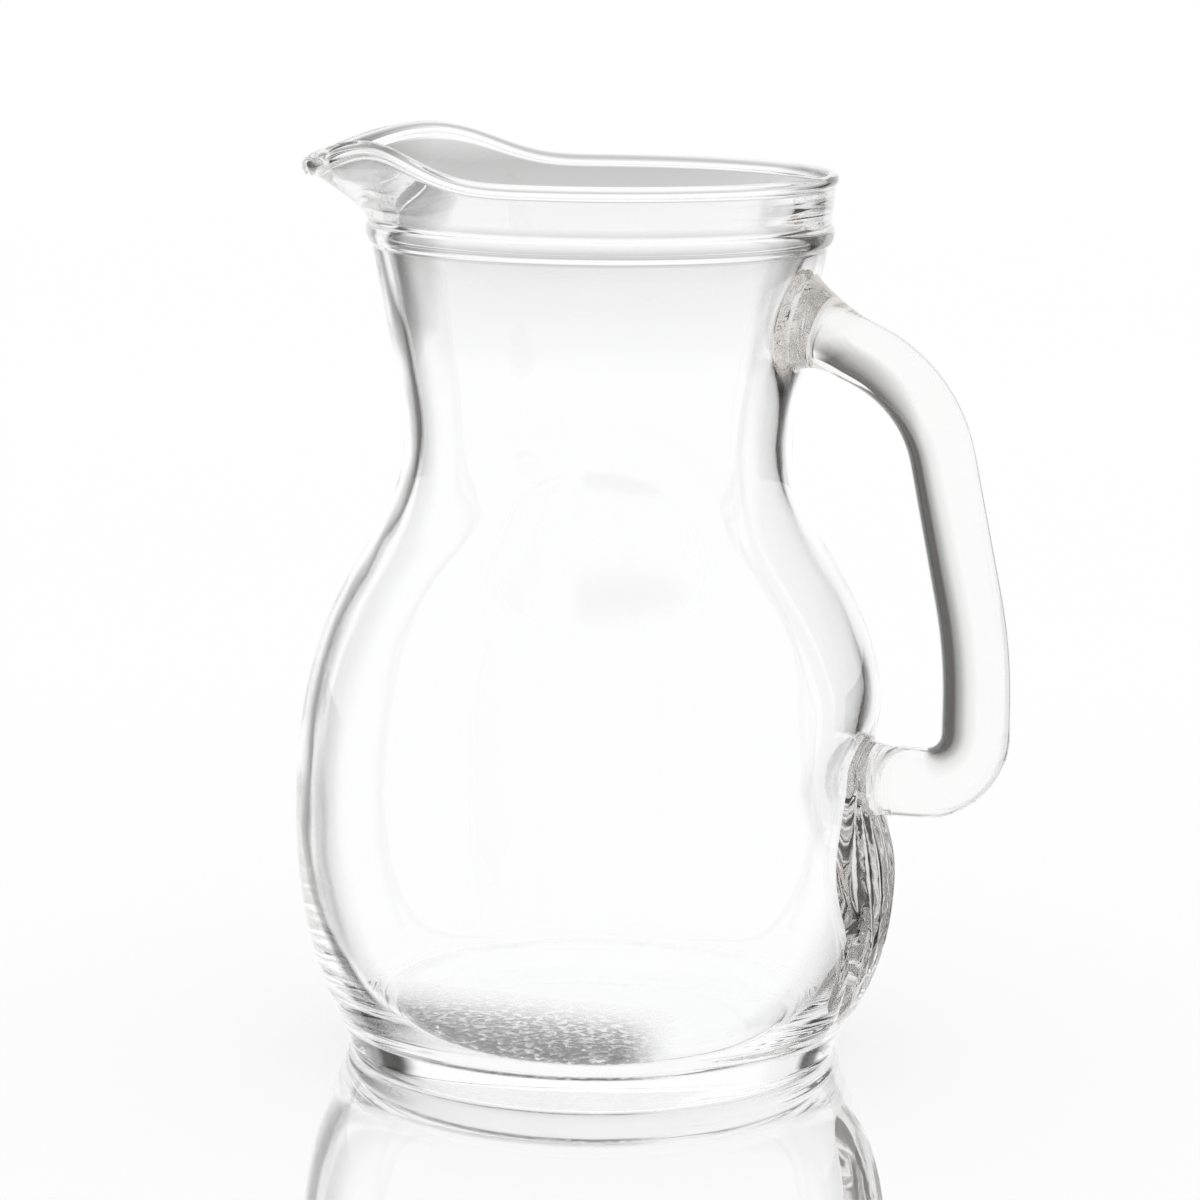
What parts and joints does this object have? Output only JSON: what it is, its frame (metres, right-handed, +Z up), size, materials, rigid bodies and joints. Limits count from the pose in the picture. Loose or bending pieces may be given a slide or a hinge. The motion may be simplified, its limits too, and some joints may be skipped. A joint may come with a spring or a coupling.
{
  "type": "glass carafe",
  "caption": "Clear glass serving jug with a round belly, narrow waist, beaded collar, pulled pouring spout and a bent rod handle fused to neck and belly.",
  "frame": {"origin": "middle of the bounding box's footprint, on the plane that the jug stands on", "axes": "+Z up, along the vessel's axis of turning; +X from the spout towards the handle; +Y across the jug, to the far side of the picture"},
  "size_m": [0.1442, 0.12, 0.1836],
  "materials": {
    "vessel_glass": "clear soda-lime glass, fire-polished, faintly wavy from blowing",
    "handle_glass": "clear solid glass rod, fire-polished",
    "upper_seal_glass": "clear glass, pressed on hot, smooth fillet",
    "lower_seal_glass": "clear glass, pressed on hot, ribbed by the tool"
  },
  "bodies": {
    "root": {"vessel": "vessel_glass", "handle": "handle_glass", "upper_handle_seal": "upper_seal_glass", "lower_handle_seal": "lower_seal_glass"}
  },
  "joints": []
}
